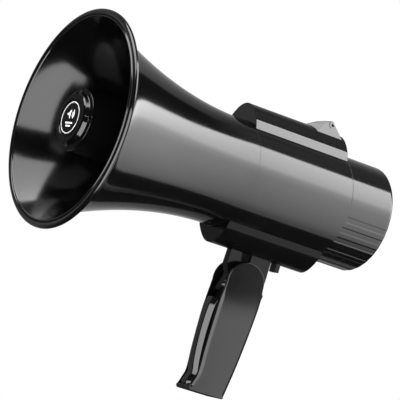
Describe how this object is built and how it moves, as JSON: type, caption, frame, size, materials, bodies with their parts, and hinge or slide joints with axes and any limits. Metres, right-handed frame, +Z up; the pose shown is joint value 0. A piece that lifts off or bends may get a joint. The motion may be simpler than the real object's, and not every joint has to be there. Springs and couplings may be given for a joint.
{
  "type": "handheld megaphone",
  "caption": "Handheld megaphone: flared re-entrant horn with a nosed reflector, tube body with D-shaped saddles, and a folding pistol handle with a full-length trigger.",
  "frame": {"origin": "under the middle of the megaphone, centred left to right and front to back, level with the bottom of the unfolded handle", "axes": "+Z up, +Y towards the rear cap, so the mouth faces -Y and +X is the side with the plain handle cheek"},
  "size_m": [0.15, 0.2414, 0.2222],
  "materials": {
    "black_plastic": "glossy black moulded ABS",
    "satin_plastic": "satin black plastic",
    "badge_plastic": "glossy black disc with a plain white ring and mark",
    "steel": "zinc-plated steel",
    "iron": "plated soft iron",
    "ferrite": "sintered ferrite",
    "copper": "copper wire",
    "film": "amber polymer film",
    "rubber": "soft black rubber",
    "nylon": "white nylon",
    "board": "green circuit board",
    "cell": "blue shrink sleeve",
    "aluminium": "plain aluminium"
  },
  "bodies": {
    "horn_unit": {"bell": "black_plastic", "reflector": "black_plastic", "nose_cap": "black_plastic", "throat_horn": "black_plastic", "main_tube": "black_plastic", "saddle_top": "black_plastic", "strap_lug": "black_plastic", "saddle_bottom": "black_plastic", "handle_bracket": "black_plastic", "rear_cap": "black_plastic", "badge": "badge_plastic", "throat_screw_1": "steel", "throat_screw_2": "steel", "throat_screw_3": "steel", "bracket_screw_1": "steel", "bracket_screw_2": "steel", "cell_spring_left": "steel", "cell_spring_right": "steel", "cell_plate_left": "steel", "cell_plate_right": "steel", "panel_screw_1": "steel", "panel_screw_2": "steel", "top_plate": "iron", "yoke": "iron", "magnet": "ferrite", "output_choke": "ferrite", "voice_coil": "copper", "diaphragm": "film", "diaphragm_ring": "satin_plastic", "mode_switch_body": "satin_plastic", "battery_tray": "satin_plastic", "capacitor_large": "satin_plastic", "capacitor_small": "satin_plastic", "rear_panel": "satin_plastic", "microphone_grille": "satin_plastic", "volume_pot_body": "satin_plastic", "charging_socket": "satin_plastic", "microphone_boot": "rubber", "wire_sleeve": "rubber", "amplifier_board": "board", "cell_left": "cell", "cell_right": "cell", "heat_sink": "aluminium", "microphone_capsule": "aluminium"},
    "handle": {"handle_right_shell": "black_plastic", "handle_left_shell": "black_plastic", "handle_screw_1": "steel", "handle_screw_2": "steel", "handle_screw_3": "steel", "pivot_pin": "steel", "washer_right": "nylon", "washer_left": "nylon", "trigger_pin": "steel", "trigger_spring": "steel", "talk_switch_body": "satin_plastic"},
    "trigger_lever": {"trigger": "black_plastic"},
    "talk_plunger": {"talk_switch_plunger": "nylon"},
    "mode_slider": {"mode_knob": "satin_plastic"},
    "volume_control": {"volume_knob": "rubber", "volume_shaft": "aluminium"}
  },
  "joints": [
    {"name": "handle_fold", "type": "hinge", "parent": "horn_unit", "child": "handle", "pos_m": [0, 0.038, 0.0792], "axis": [-1, 0, 0], "range_deg": [0, 88]},
    {"name": "trigger_pull", "type": "hinge", "parent": "handle", "child": "trigger_lever", "pos_m": [0, 0.0263, 0.0087], "axis": [-1, 0, 0], "range_deg": [0, 1.8], "stiffness_Nm_per_rad": 1.5, "springref_deg": -1.72, "deforming": ["trigger_spring"]},
    {"name": "talk_plunger_slide", "type": "slide", "parent": "handle", "child": "talk_plunger", "axis": [0, 1, 0], "range_m": [0, 0.0016]},
    {"name": "mode_slide", "type": "slide", "parent": "horn_unit", "child": "mode_slider", "axis": [0, 1, 0], "range_m": [0, 0.004]},
    {"name": "volume_turn", "type": "hinge", "parent": "horn_unit", "child": "volume_control", "pos_m": [-0.0125, 0.117, 0.1347], "axis": [0, -1, 0], "range_deg": [-150, 150]}
  ],
  "couplings": [
    {"joint": "talk_plunger_slide", "follows": "trigger_pull", "m_per_rad": 0.0465}
  ]
}
